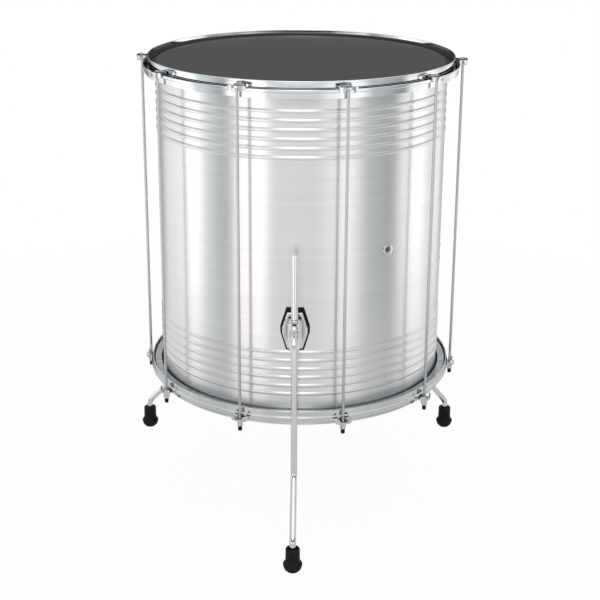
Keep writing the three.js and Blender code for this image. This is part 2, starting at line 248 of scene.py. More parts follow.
def circle(radius, segments, x=0.0, y=0.0):
    steps = [2 * math.pi * s / segments for s in range(segments)]
    return [(x + radius * math.cos(a), y + radius * math.sin(a)) for a in steps]


def arc(radius, start, end, steps, x=0.0, y=0.0):
    angles = [math.radians(start + (end - start) * s / steps) for s in range(steps + 1)]
    return [(x + radius * math.cos(a), y + radius * math.sin(a)) for a in angles]


def mirrored(points):
    return [(-x, y) for x, y in reversed(points)]


def applied(base, *tools):
    """The mesh that an object's modifiers make. The object and its tools are removed."""
    bpy.context.view_layer.update()
    made = bpy.data.meshes.new_from_object(
        base.evaluated_get(bpy.context.evaluated_depsgraph_get())
    )
    for ob in (base, *tools):
        bpy.data.objects.remove(ob)
    return made


def combine(mesh, others, operation="UNION"):
    """Boolean of a mesh with others, as a new mesh."""
    base = link("tool_base", mesh, Matrix.Identity(4))
    tools = []
    for n, other in enumerate(others):
        tool = link(f"tool_{n}", other, Matrix.Identity(4))
        mod = base.modifiers.new("cut", "BOOLEAN")
        mod.operation, mod.object, mod.solver = operation, tool, "EXACT"
        tools.append(tool)
    return applied(base, *tools)


def bevelled(mesh, width, segments, angle=32.0):
    """The mesh with its sharp edges rounded."""
    base = link("tool_base", mesh, Matrix.Identity(4))
    mod = base.modifiers.new("round", "BEVEL")
    mod.width, mod.segments, mod.limit_method = width * MM, segments, "ANGLE"
    mod.angle_limit = math.radians(angle)
    made = applied(base)
    soften(made, 50)
    return made


def settled(mesh):
    """The mesh with normals that follow its larger faces, so that flat faces shade flat."""
    base = link("tool_base", mesh, Matrix.Identity(4))
    mod = base.modifiers.new("normals", "WEIGHTED_NORMAL")
    mod.mode, mod.weight, mod.keep_sharp = "FACE_AREA", 100, True
    return applied(base)


def away(point):
    """Millimetres from the drum's axis."""
    return math.hypot(point.x, point.y) / MM


def mark(mesh, first, second, chosen):
    """Two materials, the second one on the chosen faces."""
    mesh.materials.append(first)
    mesh.materials.append(second)
    for face in mesh.polygons:
        if chosen(face):
            face.material_index = 1


# Materials

def fill_ramp(ramp, stops, interpolation="LINEAR"):
    """Stops (place, colour or grey level) of a colour ramp node."""
    elements = ramp.color_ramp.elements
    ramp.color_ramp.interpolation = interpolation
    while len(elements) < len(stops):
        elements.new(0.5)
    for element, (spot, value) in zip(elements, stops):
        element.position = spot
        element.color = (*value, 1) if isinstance(value, tuple) else (value, value, value, 1)


class Paint:
    """A principled material with short calls for its nodes."""

    def __init__(self, name, color, roughness, metallic, **sockets):
        self.mat = bpy.data.materials.new(name)
        self.mat.use_nodes = True
        self.tree = self.mat.node_tree
        self.shader = self.tree.nodes["Principled BSDF"]
        self.set("Base Color", (*color, 1))
        self.set("Roughness", roughness)
        self.set("Metallic", metallic)
        for key, value in sockets.items():
            self.set(key.replace("_", " ").title().replace("Ior", "IOR"), value)

    def set(self, socket, value):
        self.shader.inputs[socket].default_value = value

    def node(self, kind, **values):
        made = self.tree.nodes.new(kind)
        for key, value in values.items():
            setattr(made, key, value)
        return made

    def wire(self, out, into):
        self.tree.links.new(out, into)

    def spot(self, scale=(1, 1, 1)):
        """Object coordinates, times a scale."""
        coords = self.node("ShaderNodeTexCoord")
        mapping = self.node("ShaderNodeMapping")
        mapping.inputs["Scale"].default_value = scale
        self.wire(coords.outputs["Object"], mapping.inputs["Vector"])
        return mapping.outputs["Vector"]

    def noise(self, vector, scale, detail, rough):
        made = self.node("ShaderNodeTexNoise")
        made.inputs["Scale"].default_value = scale
        made.inputs["Detail"].default_value = detail
        made.inputs["Roughness"].default_value = rough
        self.wire(vector, made.inputs["Vector"])
        return made.outputs["Fac"]

    def ramp(self, fac, stops):
        made = self.node("ShaderNodeValToRGB")
        fill_ramp(made, stops)
        self.wire(fac, made.inputs["Fac"])
        return made.outputs["Color"]

    def multiply(self, first, second):
        mix = self.node("ShaderNodeMix", data_type="RGBA", blend_type="MULTIPLY")
        mix.inputs["Factor"].default_value = 1.0
        self.wire(first, mix.inputs["A"])
        self.wire(second, mix.inputs["B"])
        return mix.outputs["Result"]

    def bump(self, height, strength, distance, after=None):
        made = self.node("ShaderNodeBump")
        made.inputs["Strength"].default_value = strength
        made.inputs["Distance"].default_value = distance
        self.wire(height, made.inputs["Height"])
        if after is not None:
            self.wire(after, made.inputs["Normal"])
        self.wire(made.outputs["Normal"], self.shader.inputs["Normal"])
        return made.outputs["Normal"]


def shell_paint():
    """Spun aluminium: fine marks run round the drum and stretch its reflections upright."""
    p = Paint("spun_aluminium", (0.80, 0.805, 0.81), 0.31, 1.0,
              anisotropic=0.85, anisotropic_rotation=0.25)
    fine = p.noise(p.spot((4, 4, 1700)), 1.0, 3.0, 0.6)
    broad = p.noise(p.spot((1.2, 1.2, 120)), 1.0, 4.0, 0.6)
    cloud = p.noise(p.spot(), 6.0, 3.0, 0.5)
    p.wire(p.ramp(fine, [(0.3, 0.28), (0.7, 0.34)]), p.shader.inputs["Roughness"])
    tone = p.ramp(broad, [(0.35, (0.79, 0.795, 0.80)), (0.65, (0.83, 0.832, 0.835))])
    tone = p.multiply(tone, p.ramp(cloud, [(0.3, 0.97), (0.7, 1.0)]))
    p.wire(tone, p.shader.inputs["Base Color"])
    tangent = p.node("ShaderNodeTangent", direction_type="RADIAL", axis="Z")
    p.wire(tangent.outputs["Tangent"], p.shader.inputs["Tangent"])
    p.bump(fine, 0.12, 0.00004)
    return p.mat


def chrome_paint(name, color, roughness, wave=0.05, corners=0.0, ripple_scale=22.0, reach=0.007):
    """Plated metal with a faint ripple.

    Hollows narrower than the reach, in metres, get painted shade: their colour darkens to the corner
    shade level. At 0 none do.
    """
    p = Paint(name, color, roughness, 1.0)
    smudge = p.noise(p.spot(), 60.0, 5.0, 0.6)
    ripple = p.noise(p.spot(), ripple_scale, 2.0, 0.5)
    gloss = p.ramp(smudge, [(0.35, roughness * 0.7), (0.75, roughness * 1.7)])
    p.wire(gloss, p.shader.inputs["Roughness"])
    dark = tuple(c * 0.96 for c in color)
    plate = p.ramp(smudge, [(0.3, color), (0.8, dark)])
    if corners:
        # Painted shade: ambient occlusion darkens the plate colour in hollows and corners
        hollow_shade = p.node("ShaderNodeAmbientOcclusion", samples=8)
        hollow_shade.inputs["Distance"].default_value = reach
        plate = p.multiply(plate, p.ramp(hollow_shade.outputs["AO"], [(0.3, corners), (0.8, 1.0)]))
    p.wire(plate, p.shader.inputs["Base Color"])
    p.bump(ripple, wave, 0.0004)
    return p.mat


def satin_paint(name, color, contrast=0.5):
    """Cool satin metal with turning marks that run round the drum."""
    p = Paint(name, color, 0.42, 0.1)
    radius = p.node("ShaderNodeVectorMath", operation="LENGTH")
    p.wire(p.spot((1, 1, 0.3)), radius.inputs[0])
    marks = p.node("ShaderNodeTexNoise", noise_dimensions="1D")
    marks.inputs["Scale"].default_value = 330.0
    marks.inputs["Detail"].default_value = 3.0
    p.wire(radius.outputs["Value"], marks.inputs["W"])
    streak = marks.outputs["Fac"]
    dark = tuple(c * (1 - contrast) for c in color)
    p.wire(p.ramp(streak, [(0.36, dark), (0.60, color)]), p.shader.inputs["Base Color"])
    p.bump(streak, 0.3, 0.001)
    return p.mat


def film_paint():
    """Dark matt film with a fine grain."""
    p = Paint("head_film_matte", (0.045, 0.044, 0.049), 0.56, 0.0, specular_ior_level=0.2)
    grain = p.noise(p.spot(), 1400.0, 2.0, 0.5)
    cloud = p.noise(p.spot(), 9.0, 4.0, 0.6)
    p.wire(p.ramp(cloud, [(0.3, (0.034, 0.033, 0.037)), (0.7, (0.046, 0.045, 0.050))]),
           p.shader.inputs["Base Color"])
    p.wire(p.ramp(cloud, [(0.3, 0.47), (0.7, 0.58)]), p.shader.inputs["Roughness"])
    first = p.bump(grain, 0.18, 0.0003)
    p.bump(cloud, 0.05, 0.0006, first)
    return p.mat


def rubber_paint(name, color, roughness):
    """Black rubber or plastic, paler where it is worn."""
    p = Paint(name, color, roughness, 0.0, specular_ior_level=0.22)
    grain = p.noise(p.spot(), 900.0, 3.0, 0.6)
    wear = p.noise(p.spot(), 70.0, 5.0, 0.65)
    pale = tuple(c * 1.9 + 0.004 for c in color)
    p.wire(p.ramp(wear, [(0.42, color), (0.75, pale)]), p.shader.inputs["Base Color"])
    gloss = p.ramp(wear, [(0.3, roughness * 0.9), (0.8, roughness * 1.25)])
    p.wire(gloss, p.shader.inputs["Roughness"])
    p.bump(grain, 0.25, 0.0003)
    return p.mat


SPUN = shell_paint()
CHROME = chrome_paint("chrome_plate", (0.765, 0.785, 0.80), 0.05)
# Painted shade: the lower hoop gets a darker copy of the hoop chrome
LOWER_HOOP_SHADED = chrome_paint("chrome_hoop_lower", (0.635, 0.66, 0.65), 0.06)
# Painted light: a paler, rougher chrome inside the lower hoop's skirt
LOWER_INSIDE = chrome_paint("chrome_hoop_lower_inside", (0.90, 0.915, 0.925), 0.3)
FLESH_METAL = chrome_paint("flesh_hoop_metal", (0.42, 0.445, 0.47), 0.22)
ROD = chrome_paint("chrome_rod", (0.50, 0.515, 0.53), 0.08)
BAR = chrome_paint("chrome_bar", (0.74, 0.75, 0.755), 0.07)
# Pressings and castings carry painted shade in their hollows and corners
PRESSED = chrome_paint("chromed_pressing", (0.62, 0.635, 0.65), 0.10,
                       wave=0.45, corners=0.2, ripple_scale=150.0)
CAST = chrome_paint("chromed_casting", (0.74, 0.755, 0.765), 0.08,
                    wave=0.9, corners=0.01, ripple_scale=190.0, reach=0.016)
DULL = satin_paint("satin_aluminium", (0.85, 0.875, 0.90))
# Painted light: a pale satin inside the upper hoop's skirt, where chrome goes dark reflecting itself
INSIDE = satin_paint("hoop_inside_painted_light", (0.93, 0.94, 0.95), 0.06)
FILM = film_paint()
RUBBER = rubber_paint("foot_rubber", (0.004, 0.004, 0.0044), 0.6)
GASKET = rubber_paint("gasket_rubber", (0.005, 0.005, 0.0055), 0.6)
# Black for painted shade on the film's flank and a painted dark reflection on the rod heads' tops
PAINTED_DARK = rubber_paint("painted_dark_black", (0.002, 0.002, 0.0024), 0.6)
CAP = rubber_paint("end_cap_plastic", (0.002, 0.002, 0.0024), 0.4)


def upright(mesh, matrix):
    """A copy of the mesh turned as the matrix turns it, and that matrix without its turn."""
    made = mesh.copy()
    made.transform(matrix.to_quaternion().to_matrix().to_4x4())
    return made, Matrix.Translation(matrix.translation)


def piece(name, mesh, matrix, paint, body, nodes=(), slot=None):
    """A named object that rides on a body and stands for CAD nodes.

    A mesh that already has its materials keeps them, and its paint is None.
    """
    if not mesh.materials:
        mesh.materials.append(paint)
    ob = link(name, mesh, matrix)
    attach(ob, body)
    if nodes:
        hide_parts(*nodes)
    return ob


# Shell and air vent

def shell_outline():
    """Outer side from the lower end to the upper one, with its rolled beads."""
    beads = [SHELL_END - BEAD_FROM_END - n * BEAD_PITCH for n in range(BEADS)]
    line = []
    for centre in sorted([-b for b in beads] + beads):
        for step in range(-BEAD_STEPS, BEAD_STEPS + 1):
            t = step / BEAD_STEPS
            rise = BEAD_HEIGHT * (0.5 + 0.5 * math.cos(math.pi * t)) ** BEAD_FULLNESS
            line.append((SHELL_RADIUS + rise, centre + BEAD_HALF_WIDTH * t))
    return line


def shell_mesh():
    inside = SHELL_RADIUS - SHELL_WALL
    under_lip = SHELL_END - SHELL_WALL
    top = rounded([
        (SHELL_RADIUS, PLAIN_END), (SHELL_RADIUS, SHELL_END, 3.2),
        (SHELL_RADIUS - BEARING_LIP, SHELL_END, 0.8), (SHELL_RADIUS - BEARING_LIP, under_lip, 0.6),
        (inside, under_lip, 2.0), (inside, PLAIN_END),
    ], closed=False)[1:-1]
    bottom = [(r, -z) for r, z in reversed(top)]
    outer = [(SHELL_RADIUS, -PLAIN_END), *shell_outline(), (SHELL_RADIUS, PLAIN_END)]
    inner = [(r - SHELL_WALL, z) for r, z in reversed(outer)]
    mesh = lathe("shell_skin", [*outer, *top, *inner, *bottom], sharp=50)
    hole = prism("vent_cut", circle(VENT_HOLE, 40, 0, VENT_HEIGHT),
                 SHELL_RADIUS - 12, SHELL_RADIUS + 8, "-Y")
    hole.transform(Matrix.Rotation(math.radians(VENT_AZIMUTH - SHELL_TURN), 4, "Z"))
    made = combine(mesh, [hole], "DIFFERENCE")
    soften(made, 50)
    return made


def vent_mesh():
    """Eyelet: a rolled flange on the outside and a neck that reaches inside the shell."""
    profile = rounded([
        (VENT_BORE, -VENT_NECK, 0.3), (VENT_BORE, 2.2, 1.5), (VENT_FLANGE - 0.2, 1.5, 0.9),
        (VENT_FLANGE, 0.3, 0.2), (VENT_OUTSIDE, 0.25), (VENT_OUTSIDE, -VENT_NECK, 0.3),
    ])
    mesh = lathe("vent_ring", profile, 64)
    mesh.transform(Matrix.Rotation(math.pi / 2, 4, "X"))
    return mesh


piece("shell_skin", settled(shell_mesh()), place(SHELL_TURN), SPUN, "drum", ["shell"],
      "shell_metal")
vent_place = place(VENT_AZIMUTH, 0, -SHELL_RADIUS, VENT_HEIGHT)
vent = settled(vent_mesh())
mark(vent, CHROME, DULL, lambda face: math.hypot(face.center.x, face.center.z) < VENT_INSIDE * MM)
piece("vent_eyelet", vent, vent_place, None, "drum", slot="chrome")


# Hoops and heads

def hoop_mesh():
    """Upper hoop: rolled rim, collar, shoulder and skirt, then back up inside."""
    profile = rounded([
        (RIM_INSIDE, RIM, 1.0), (RIM_RADIUS, RIM, 1.4), (RIM_RADIUS, RIM - 3.7, 1.3),
        (COLLAR, RIM - 4.4, 0.4), (COLLAR, SHOULDER, 0.25), (SHOULDER_EDGE, SHOULDER - 0.1, 1.3),
        (SHOULDER_EDGE, SHOULDER - 5.2, 1.2), (SKIRT, SHOULDER - 6.3, 0.8),
        (SKIRT, SKIRT_END, 0.9), (SKIRT_INNER, SKIRT_END, 0.9),
        (SKIRT_INNER, SHOULDER - 3.4, 1.6), (COLLAR_INSIDE - 0.05, SHOULDER - 2.2, 0.6),
        (COLLAR_INSIDE, RIM - 5.5, 0.3),
    ])
    return lathe("hoop", profile, sharp=50)


def film_mesh():
    """Film over the bearing edge, down its side and out over the flesh hoop."""
    under, drop = FILM_TOP - FILM_THICK, LEDGE - 3
    outer = [
        (0, FILM_TOP), (150, FILM_TOP), (276.6, FILM_TOP, 5), (FLESH_INSIDE, LEDGE, 2.2),
        (FILM_OUTSIDE, LEDGE, 0.9), (FILM_OUTSIDE, drop, 0.3),
    ]
    inner = [
        (FILM_OUTSIDE - 1, drop), (FILM_OUTSIDE - 1, LEDGE - 0.9),
        (FLESH_INSIDE - 0.8, LEDGE - 0.9, 1.4), (276.0, under, 4), (0, under),
    ]
    return lathe("film", rounded([*outer, *inner], closed=False), sharp=50)


def flesh_mesh():
    """The flesh hoop, a ring just below the film's outer part."""
    top = LEDGE - 1.1
    low = top - FLESH_TALL
    return lathe("flesh_ring", rounded([
        (FLESH_INSIDE, top, 0.8), (FLESH_RADIUS, top, 0.8),
        (FLESH_RADIUS, low, 1.2), (FLESH_INSIDE, low, 1.2),
    ]), sharp=50)


def inside_skirt(face):
    """Whether a face of a hoop is inside its skirt, on the wall or under the shoulder."""
    level = face.center.z / MM
    inward = face.normal.x * face.center.x + face.normal.y * face.center.y < 0
    below, above_wall, within = RIM - 15, RIM - 20, 300
    return level < below and (inward or level > above_wall) and away(face.center) < within


hoop, film, flesh = settled(hoop_mesh()), settled(film_mesh()), settled(flesh_mesh())
# Painted light: faces inside the skirt get the pale satin
mark(hoop, CHROME, INSIDE, inside_skirt)
# Painted shadow: the film's flank out past FILM_EDGE, down in the groove under the collar, is
# painted black
mark(film, FILM, PAINTED_DARK, lambda face: away(face.center) > FILM_EDGE)
# The lower hoop is a copy with painted shade outside and painted light inside
lower_hoop = hoop.copy()
lower_hoop.materials[0], lower_hoop.materials[1] = LOWER_HOOP_SHADED, LOWER_INSIDE
for end, metal, matrix in (("upper", hoop, place()), ("lower", lower_hoop, turned_over(place()))):
    piece(f"{end}_counterhoop", metal, matrix, None, "drum", [f"{end}_hoop"], "chrome")
    piece(f"{end}_film", film, matrix, None, "drum", [f"{end}_head"], "head_film")
    piece(f"{end}_flesh_ring", flesh, matrix, FLESH_METAL, "drum", slot="shell_metal")


# Tension rods, claws and nuts

CLAW_HALF, CLAW_FLARE = 9, 11
CLAW_FOOT = 4
LIP_RADIUS, LIP_BEND, LIP_HALF, LIP_TALL, LIP_WALL = 318.8, 24, 17.4, 10, 2.4
LIP_TOP = RIM - 7.5
LIP_LOW = LIP_TOP - LIP_TALL
LIP_MIDDLE = 3.4
CLAW_PIVOT = 305
CLAW_SLOPE = math.radians(5)
ROD_HEAD = 4.7
NUT_RADIUS, NUT_FLANGE = 5.75, 6.2
CAP_RADIUS, CAP_COLLAR, CAP_BORE, CAP_LENGTH = 3.95, 4.15, 3.1, 10


def claw_mesh():
    """Plate with its foot on the hoop's shoulder and a bent lip with round ears, notched below."""
    centre = LIP_BEND - LIP_RADIUS
    inner = -(RIM_RADIUS + 0.4)
    wide = math.degrees(math.acos(CLAW_FLARE / LIP_BEND))
    plate = prism("plate", rounded([
        (-CLAW_HALF, inner, 1.5),
        *arc(LIP_BEND - LIP_WALL / 2, wide - 180, -wide, 10, 0, centre),
        (CLAW_HALF, inner, 1.5),
    ], steps=3), CLAW_TOP - CLAW_THICK, CLAW_TOP)
    for corner in plate.vertices:
        corner.co.z += (corner.co.y + CLAW_PIVOT * MM) * math.tan(CLAW_SLOPE)
    foot = prism("foot", rounded([
        (-CLAW_HALF, inner - CLAW_FOOT, 0.8), (CLAW_HALF, inner - CLAW_FOOT, 0.8),
        (CLAW_HALF, inner, 0.8), (-CLAW_HALF, inner, 0.8),
    ], steps=2), SHOULDER + 0.35, CLAW_TOP - 0.4)
    tip = math.degrees(math.acos(LIP_HALF / LIP_BEND))
    band = prism("band", [
        *arc(LIP_BEND, tip - 180, -tip, 20, 0, centre),
        *arc(LIP_BEND - LIP_WALL, -tip, tip - 180, 20, 0, centre),
    ], LIP_LOW, LIP_TOP)
    r = LIP_TALL / 2
    ear = arc(r, -90, 90, 10, LIP_HALF - r, LIP_TOP - r)
    notch = rounded([
        (-LIP_HALF, LIP_LOW), (-8.6, LIP_LOW, 1.5), (-6.2, LIP_TOP - LIP_MIDDLE, 3),
        (6.2, LIP_TOP - LIP_MIDDLE, 3), (8.6, LIP_LOW, 1.5), (LIP_HALF, LIP_LOW),
    ], closed=False)[1:-1]
    window = prism("window", [*ear, *mirrored(ear), *notch], 300, 330, "-Y")
    lip = combine(band, [window], "INTERSECT")
    hole = prism("hole", circle(ROD_BORE, 24, 0, -ROD_CIRCLE), CLAW_TOP - 6, CLAW_TOP + 4)
    body = combine(combine(plate, [foot, lip]), [hole], "DIFFERENCE")
    return bevelled(body, 0.55, 3)


def rod_mesh():
    """Long plain rod with a low domed head on the claw."""
    end = -(RIM + 4.1)
    profile = rounded([
        (0, SEAT + 3.0), (3.2, SEAT + 2.9, 1.2), (ROD_HEAD, SEAT + 1.9, 0.9),
        (ROD_HEAD, SEAT, 0.3), (ROD_RADIUS, SEAT), (ROD_RADIUS, end, 0.4), (0, end),
    ], closed=False, steps=4)
    return lathe("rod", profile, 28, sharp=60)


def nut_mesh():
    """Hexagon nut with a round flange above and chamfered corners below."""
    top = -SEAT
    bottom = top - NUT_LENGTH
    body = prism("hexagon", circle(NUT_RADIUS, 6), bottom, top - 1.6)
    cone = lathe("cone", [
        (0, bottom - 0.2), (4.7, bottom - 0.2), (NUT_FLANGE, bottom + 1.5),
        (NUT_FLANGE, top + 1), (0, top + 1),
    ], 48)
    flange = lathe("flange", rounded([
        (0, top), (5.6, top, 0.4), (NUT_FLANGE, top - 0.8, 0.5), (5.7, top - 2.4, 0.5),
        (0, top - 2.6),
    ], closed=False), 48)
    bore = prism("bore", circle(ROD_BORE, 24), bottom - 2, top + 2)
    made = combine(combine(combine(body, [cone], "INTERSECT"), [flange]), [bore], "DIFFERENCE")
    return bevelled(made, 0.25, 2)


def cap_mesh():
    """Closed end cap over the rod's end, with a wider collar and a round end."""
    top = -SEAT - NUT_LENGTH - 0.1
    end = top - CAP_LENGTH
    profile = rounded([
        (0, top), (CAP_COLLAR, top, 0.4), (CAP_COLLAR, top - 1.6, 0.2),
        (CAP_RADIUS, top - 2.0, 0.2), (CAP_RADIUS, end, 3.6), (0, end),
    ], closed=False, steps=7)
    solid = lathe("cap", profile, 40, sharp=50)
    bore = prism("cap_bore", circle(CAP_BORE, 20), top - CAP_LENGTH / 2, top + 3)
    made = combine(solid, [bore], "DIFFERENCE")
    soften(made, 40)
    return made


claw, rod = settled(claw_mesh()), settled(rod_mesh())
nut, cap = settled(nut_mesh()), settled(cap_mesh())
# Painted reflection: the top of each rod's domed head is painted black
mark(rod, ROD, PAINTED_DARK, lambda face: face.center.z > (SEAT + 2.6) * MM)
for n in range(RODS):
    label = f"{n + 1:02d}"
    around = place((n + 0.5) * 360 / RODS)
    on_circle = place((n + 0.5) * 360 / RODS, 0, -ROD_CIRCLE)
    piece(f"claw_upper_{label}", *upright(claw, around), PRESSED, "drum",
          [f"upper_claw_{label}"], "chrome")
    piece(f"claw_lower_{label}", *upright(claw, turned_over(around)), PRESSED, "drum",
          [f"lower_claw_{label}"], "chrome")
    piece(f"rod_{label}", rod, on_circle, None, "drum", [f"tension_rod_{label}"], "chrome")
    body = f"tension_nut_{label}_body"
    piece(f"nut_{label}", nut, on_circle, PRESSED, body, [f"tension_nut_{label}"], "chrome")
    piece(f"nut_cap_{label}", cap, on_circle, CAP, body, slot="rubber")


# Brackets, gaskets and wing screws

GASKET_WIDE, GASKET_TALL = 54, 82.5
BRACKET_WIDE, BRACKET_TALL, BRACKET_FACE, BRACKET_BEVEL = 46, 69.3, 291, 3.4
BARREL_LOW, BARREL_HIGH, BARREL_FACE = BRACKET - 23, BRACKET + 27, 322.5
BARREL_HALF, BARREL_WAIST = 13.4, 10.5
SLEEVE_RADIUS, SLEEVE_PROUD = 9.6, 3
BOSS_RADIUS, BOSS_FACE, BOSS_BORE = 8.6, 322.8, 4.4
PIT_RADIUS, PIT_ACROSS, PIT_UP, PIT_FLOOR = 2.1, 10, 25.5, 288.6
WING_THICK, WING_BEVEL = 10.4, 3.9


def hexagon(width, tall, corner=1.0):
    """Outline of a bracket's foot, with short flat ends and sides."""
    x, y = width / 2, tall / 2
    end, side = 0.6 * x, 0.15 * y
    right = [
        (end, BRACKET - y, corner), (x, BRACKET - side, corner * 2),
        (x, BRACKET + side, corner * 2), (end, BRACKET + y, corner),
    ]
    left = [(-x, y, c) for x, y, c in reversed(right)]
    return rounded([*right, *left], steps=3)


def drum_band(inner, outer):
    """A smooth stretch of tube round the drum's axis at bracket height."""
    return lathe("band", [
        (inner, BRACKET - 60), (outer, BRACKET - 60), (outer, BRACKET + 60), (inner, BRACKET + 60),
    ])


def gasket_mesh():
    """Rubber sheet bent to the shell."""
    plate = prism("gasket", hexagon(GASKET_WIDE, GASKET_TALL, corner=1.6),
                  SHELL_RADIUS - 12, SHELL_RADIUS + 12, "-Y")
    made = combine(plate, [drum_band(SHELL_RADIUS + 0.3, SHELL_RADIUS + 2.2)], "INTERSECT")
    return bevelled(made, 0.5, 2, 50)


def bracket_mesh():
    """Bevelled hexagon foot, upright barrel for the leg and a round boss for the screw."""
    foot = prism("foot", hexagon(BRACKET_WIDE, BRACKET_TALL), SHELL_RADIUS - 6, BRACKET_FACE, "-Y")
    foot = bevelled(foot, BRACKET_BEVEL, 1, 60)
    foot = combine(foot, [drum_band(SHELL_RADIUS - 30, SHELL_RADIUS + 2.6)], "DIFFERENCE")
    barrel = prism("barrel", rounded([
        (-11.5, -285), (11.5, -285), (BARREL_HALF, -304, 3), (BARREL_WAIST, -BARREL_FACE, 5),
        (-BARREL_WAIST, -BARREL_FACE, 5), (-BARREL_HALF, -304, 3),
    ]), BARREL_LOW, BARREL_HIGH)
    half = [
        (7, BARREL_LOW, 6), (15, BRACKET - 14, 7), (15, BRACKET + 15, 9), (8, BARREL_HIGH, 6),
    ]
    window = prism("window", rounded([
        *half, *[(-x, z, corner) for x, z, corner in reversed(half)],
    ]), 280, 330, "-Y")
    barrel = combine(barrel, [window], "INTERSECT")
    sleeve = prism("sleeve", circle(SLEEVE_RADIUS, 40, 0, -LEG_CIRCLE),
                   BARREL_LOW - SLEEVE_PROUD, BARREL_HIGH + SLEEVE_PROUD)
    boss = prism("boss", circle(BOSS_RADIUS, 40, 0, SCREW), 300, BOSS_FACE, "-Y")
    bores = [
        prism("bore", circle(LEG_RADIUS + 0.3, 40, 0, -LEG_CIRCLE), BRACKET - 60, BRACKET + 60),
        prism("screw_bore", circle(BOSS_BORE, 32, 0, SCREW), LEG_CIRCLE, 340, "-Y"),
    ]
    for x in (-PIT_ACROSS, PIT_ACROSS):
        for z in (BRACKET - PIT_UP, BRACKET + PIT_UP):
            bores.append(prism("pit", circle(PIT_RADIUS, 20, x, z), PIT_FLOOR, 300, "-Y"))
    made = combine(combine(foot, [barrel, sleeve, boss]), bores, "DIFFERENCE")
    return bevelled(made, 0.9, 3, 34)


def wing_mesh():
    """Screw along the radius with a stepped hub and two thick round wings."""
    tip, back, front = 318.7, 322.9, 333.9
    stem = lathe("stem", rounded([
        (0, tip), (3.6, tip, 0.5), (3.9, tip + 1), (3.9, back + 0.1), (6.6, back + 0.1, 0.4),
        (6.6, back + 1.7, 0.5), (5.4, back + 2.2, 0.4), (5.0, front - 1, 0.8),
        (3.4, front, 0.6), (0, front),
    ], closed=False), 48)
    stem.transform(Matrix.Rotation(math.pi / 2, 4, "X"))
    lobe_u, lobe_v, lobe_r = back + 11.5, 13.5, 6.5
    upper = [
        (back + 2.4, 3.0), (back + 4.6, 8.2), *arc(lobe_r, 168, -8, 12, lobe_u, lobe_v),
        (front + 0.6, 4.0),
    ]
    outline = [*[(v, u) for u, v in upper], *[(-v, u) for u, v in reversed(upper)]]
    wings = prism("wings", [(x, -y) for x, y in outline], -WING_THICK / 2, WING_THICK / 2)
    wings = bevelled(wings, WING_BEVEL, 5, 60)
    wings.transform(Matrix.Rotation(math.pi / 2, 4, "Y"))
    dimple = lathe("dimple", [
        (0, front - 1.2), (1.6, front - 0.9), (1.9, front + 6), (0, front + 6),
    ], 24)
    dimple.transform(Matrix.Rotation(math.pi / 2, 4, "X"))
    return bevelled(combine(combine(stem, [wings]), [dimple], "DIFFERENCE"), 0.4, 2, 45)


# Legs and feet

FLUTES, FLUTE_DEEP, FLUTE_LOW, FLUTE_HIGH, FLUTE_FADE = 12, 0.6, 20, 46.5, 4


def knee(before, corner, after, radius, steps=10):
    """Points of a circular bend at a corner."""
    into, out = (corner - before).normalized(), (after - corner).normalized()
    bend = into.angle(out)
    cut = radius * math.tan(bend / 2)
    centre = corner - into * cut + (out - into * into.dot(out)).normalized() * radius
    start = corner - into * cut - centre
    axis = into.cross(out).normalized()
    return [centre + Matrix.Rotation(bend * s / steps, 3, axis) @ start for s in range(steps + 1)]


def leg_mesh():
    """Round bar: long straight part, two knees, and the end inside the foot."""
    top = Vector((0, 0, LEG_TOP))
    upper = Vector((0, 0, KNEE_HIGH))
    lower = Vector((0, -LEG_THROW, KNEE_LOW))
    end = Vector((0, -LEG_THROW, LEG_END))
    path = [
        top, top - Vector((0, 0, LEG_ROUND)), *knee(top, upper, lower, 28),
        *knee(upper, lower, end, 26), end,
    ]
    count, verts, faces = 36, [], []
    for i, point in enumerate(path):
        ahead = path[min(i + 1, len(path) - 1)] - path[max(i - 1, 0)]
        side = Vector((1, 0, 0))
        across = ahead.normalized().cross(side)
        reach = LEG_RADIUS - LEG_ROUND if i == 0 else LEG_RADIUS
        for s in range(count):
            a = 2 * math.pi * s / count
            verts.append(point + (side * math.cos(a) + across * math.sin(a)) * reach)
    for i in range(len(path) - 1):
        for s in range(count):
            n = (s + 1) % count
            low, high = i * count, (i + 1) * count
            faces.append((low + s, low + n, high + n, high + s))
    faces.append(tuple(range(count)))
    faces.append(tuple(range(len(verts) - 1, len(verts) - count - 1, -1)))
    return build("leg", [tuple(v) for v in verts], faces, 50)


def foot_mesh():
    """Rubber foot: fluted upper part, flared skirt with a groove and a flat sole."""
    def fluted(r, z, a):
        up = z - FLOOR
        if r < 9 or up < FLUTE_LOW or up > FLUTE_HIGH:
            return r
        fade = min(1, (up - FLUTE_LOW) / FLUTE_FADE)
        return r - fade * FLUTE_DEEP * max(0.0, math.cos(FLUTES * a)) ** 2

    walls = [
        (0, 0), (10.6, 0, 1.2), (15.6, 5.2, 2), (15.3, 6.2, 0.4), (16.2, 7.0, 0.4),
        (17.8, 12.6, 1.6), (17.8, 15.6, 1.6), (14.0, 20.6, 2.5), (13.5, 26, 3), (13.4, 36),
        (13.2, 45.4, 1.2), (11.8, 47, 0.8), (8.0, 47, 0.8), (6.4, 44.5, 0.8), (6.4, 16), (0, 16),
    ]
    profile = rounded([(p[0], FLOOR + p[1], *p[2:]) for p in walls], closed=False, steps=5)
    return lathe("foot", profile, 96, fluted, 50)


